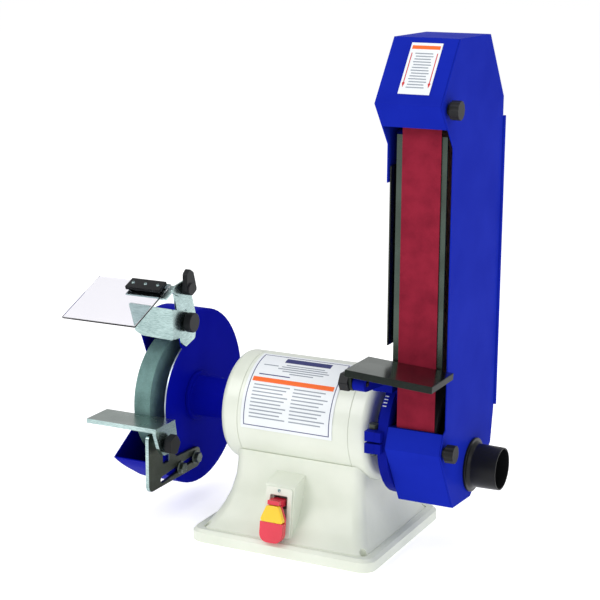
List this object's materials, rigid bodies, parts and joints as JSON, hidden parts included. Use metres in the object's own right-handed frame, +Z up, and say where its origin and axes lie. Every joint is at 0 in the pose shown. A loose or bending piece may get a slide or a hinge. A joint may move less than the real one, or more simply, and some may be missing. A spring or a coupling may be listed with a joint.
{
  "type": "combination bench grinder and belt sander",
  "caption": "Bench grinder with one guarded grinding wheel, an eye shield and a tool rest, and a tilting belt-sander arm with its own table and dust port.",
  "frame": {"origin": "middle of the base's underside", "axes": "+X along the spindle from the grinding wheel to the belt arm, -Y towards the operator, +Z up"},
  "size_m": [0.5552, 0.2838, 0.6719],
  "materials": {
    "cream": "gloss enamel over castings",
    "blue": "gloss enamel over sheet steel",
    "dark_blue": "gloss enamel over a casting",
    "bright_steel": "ground and zinc plated",
    "black_steel": "black oxide",
    "stone": "vitrified abrasive",
    "abrasive_cloth": "aluminium oxide grain on cloth",
    "black_plastic": "moulded",
    "rubber": "moulded on a hub",
    "clear": "clear polycarbonate",
    "grey_plastic": "moulded",
    "red_plastic": "moulded",
    "yellow_plastic": "moulded",
    "label": "printed film",
    "core_steel": "stacked laminations"
  },
  "bodies": {
    "frame": {"base_casting": "cream", "base_plate": "bright_steel", "motor_shell": "cream", "end_bell_left": "cream", "end_bell_right": "cream", "stator": "core_steel", "start_capacitor": "black_plastic", "cord_inlet": "black_plastic", "rating_plate": "label", "bearing_left": "bright_steel", "bearing_right": "bright_steel", "guard_shell": "blue", "guard_cover": "blue", "guard_hub": "dark_blue", "switch_plate": "cream", "switch_body": "grey_plastic", "shield_bracket": "bright_steel", "rest_bolt_front": "bright_steel", "rest_bolt_rear": "bright_steel"},
    "spindle": {"spindle_shaft": "bright_steel", "rotor": "core_steel", "grinding_wheel": "stone", "wheel_flange_inner": "bright_steel", "wheel_flange_outer": "bright_steel", "wheel_nut": "bright_steel", "drive_drum": "rubber", "drum_nut": "bright_steel"},
    "rest_slide": {"rest_bracket": "black_steel"},
    "rest_table": {"tool_rest": "bright_steel"},
    "rest_lock": {"rest_knob": "black_plastic"},
    "spark_slide": {"spark_guard": "bright_steel"},
    "spark_lock": {"spark_knob": "black_plastic"},
    "shield": {"shield_arm": "bright_steel", "shield_clamp": "black_plastic", "eye_shield": "clear"},
    "shield_lock": {"shield_knob": "black_plastic"},
    "paddle": {"switch_paddle": "red_plastic"},
    "key": {"switch_key": "yellow_plastic"},
    "arm": {"arm_casting": "dark_blue", "back_panel": "blue", "hood": "blue", "lower_cover": "blue", "platen": "black_steel", "side_plate": "black_steel", "sanding_belt": "abrasive_cloth", "door_hinge": "blue", "table_bracket": "dark_blue", "hood_label": "label", "tension_spring": "bright_steel"},
    "arm_lock": {"arm_lock_bolt": "black_steel"},
    "yoke": {"idler_yoke": "bright_steel"},
    "idler": {"idler_wheel": "bright_steel", "idler_bearing": "bright_steel"},
    "tracking": {"tracking_knob": "black_plastic"},
    "door": {"side_door": "blue", "dust_port": "black_plastic"},
    "door_lock_upper": {"door_knob_upper": "black_plastic"},
    "door_lock_lower": {"door_knob_lower": "black_plastic"},
    "belt_table": {"sander_table": "black_steel"},
    "table_lock": {"table_knob": "black_plastic"}
  },
  "joints": [
    {"name": "spindle_spin", "type": "hinge", "parent": "frame", "child": "spindle", "pos_m": [0, 0, 0.164], "axis": [1, 0, 0], "continuous": true},
    {"name": "rest_slide_in_out", "type": "slide", "parent": "frame", "child": "rest_slide", "axis": [0, -0.9971, -0.0767], "range_m": [-0.0015, 0.004]},
    {"name": "tool_rest_tilt", "type": "hinge", "parent": "rest_slide", "child": "rest_table", "pos_m": [-0.1724, -0.114, 0.1285], "axis": [1, 0, 0], "range_deg": [-3, 6]},
    {"name": "rest_knob_turn", "type": "hinge", "parent": "rest_table", "child": "rest_lock", "pos_m": [-0.1674, -0.114, 0.1285], "axis": [1, 0, 0], "continuous": true},
    {"name": "spark_guard_slide", "type": "slide", "parent": "frame", "child": "spark_slide", "axis": [0, 0, 1], "range_m": [-0.003, 0.005]},
    {"name": "spark_knob_turn", "type": "hinge", "parent": "spark_slide", "child": "spark_lock", "pos_m": [-0.1805, -0.036, 0.277], "axis": [1, 0, 0], "continuous": true},
    {"name": "eye_shield_tilt", "type": "hinge", "parent": "frame", "child": "shield", "pos_m": [-0.18, -0.043, 0.325], "axis": [1, 0, 0], "range_deg": [-55, 0]},
    {"name": "shield_knob_turn", "type": "hinge", "parent": "shield", "child": "shield_lock", "pos_m": [-0.1795, -0.043, 0.325], "axis": [1, 0, 0], "continuous": true},
    {"name": "paddle_press", "type": "hinge", "parent": "frame", "child": "paddle", "pos_m": [-0.008, -0.09415, 0.06795], "axis": [1, 0, 0], "range_deg": [0, 3.5]},
    {"name": "key_pull", "type": "slide", "parent": "paddle", "child": "key", "axis": [0, -0.9903, 0.1392], "range_m": [0, 0.025]},
    {"name": "arm_tilt", "type": "hinge", "parent": "frame", "child": "arm", "pos_m": [0, 0, 0.164], "axis": [1, 0, 0], "range_deg": [-90, 0]},
    {"name": "arm_bolt_turn", "type": "hinge", "parent": "arm", "child": "arm_lock", "pos_m": [0.11715, -0.08, 0.1823], "axis": [0, 0, 1], "continuous": true},
    {"name": "belt_tension", "type": "slide", "parent": "arm", "child": "yoke", "axis": [0, 0, -1], "range_m": [0, 0.012], "stiffness_N_per_m": 2500, "springref_m": -0.02, "deforming": ["tension_spring"]},
    {"name": "idler_spin", "type": "hinge", "parent": "yoke", "child": "idler", "pos_m": [0.1728, -0.04445, 0.5994], "axis": [1, 0, 0], "continuous": true},
    {"name": "tracking_turn", "type": "hinge", "parent": "arm", "child": "tracking", "pos_m": [0.14225, 0.098, 0.5694], "axis": [0, 1, 0], "continuous": true},
    {"name": "door_swing", "type": "hinge", "parent": "arm", "child": "door", "pos_m": [0.2135, 0.1007, 0.164], "axis": [0, 0, 1], "range_deg": [0, 100]},
    {"name": "upper_knob_turn", "type": "hinge", "parent": "door", "child": "door_lock_upper", "pos_m": [0.2133, -0.096, 0.5914], "axis": [1, 0, 0], "continuous": true},
    {"name": "lower_knob_turn", "type": "hinge", "parent": "door", "child": "door_lock_lower", "pos_m": [0.2133, -0.083, 0.165], "axis": [1, 0, 0], "continuous": true},
    {"name": "table_tilt", "type": "hinge", "parent": "arm", "child": "belt_table", "pos_m": [0.108, -0.128, 0.254], "axis": [1, 0, 0], "range_deg": [0, 30]},
    {"name": "table_knob_turn", "type": "hinge", "parent": "belt_table", "child": "table_lock", "pos_m": [0.108, -0.128, 0.254], "axis": [1, 0, 0], "continuous": true}
  ],
  "couplings": [
    {"joint": "idler_spin", "follows": "spindle_spin", "ratio": 2.4}
  ]
}
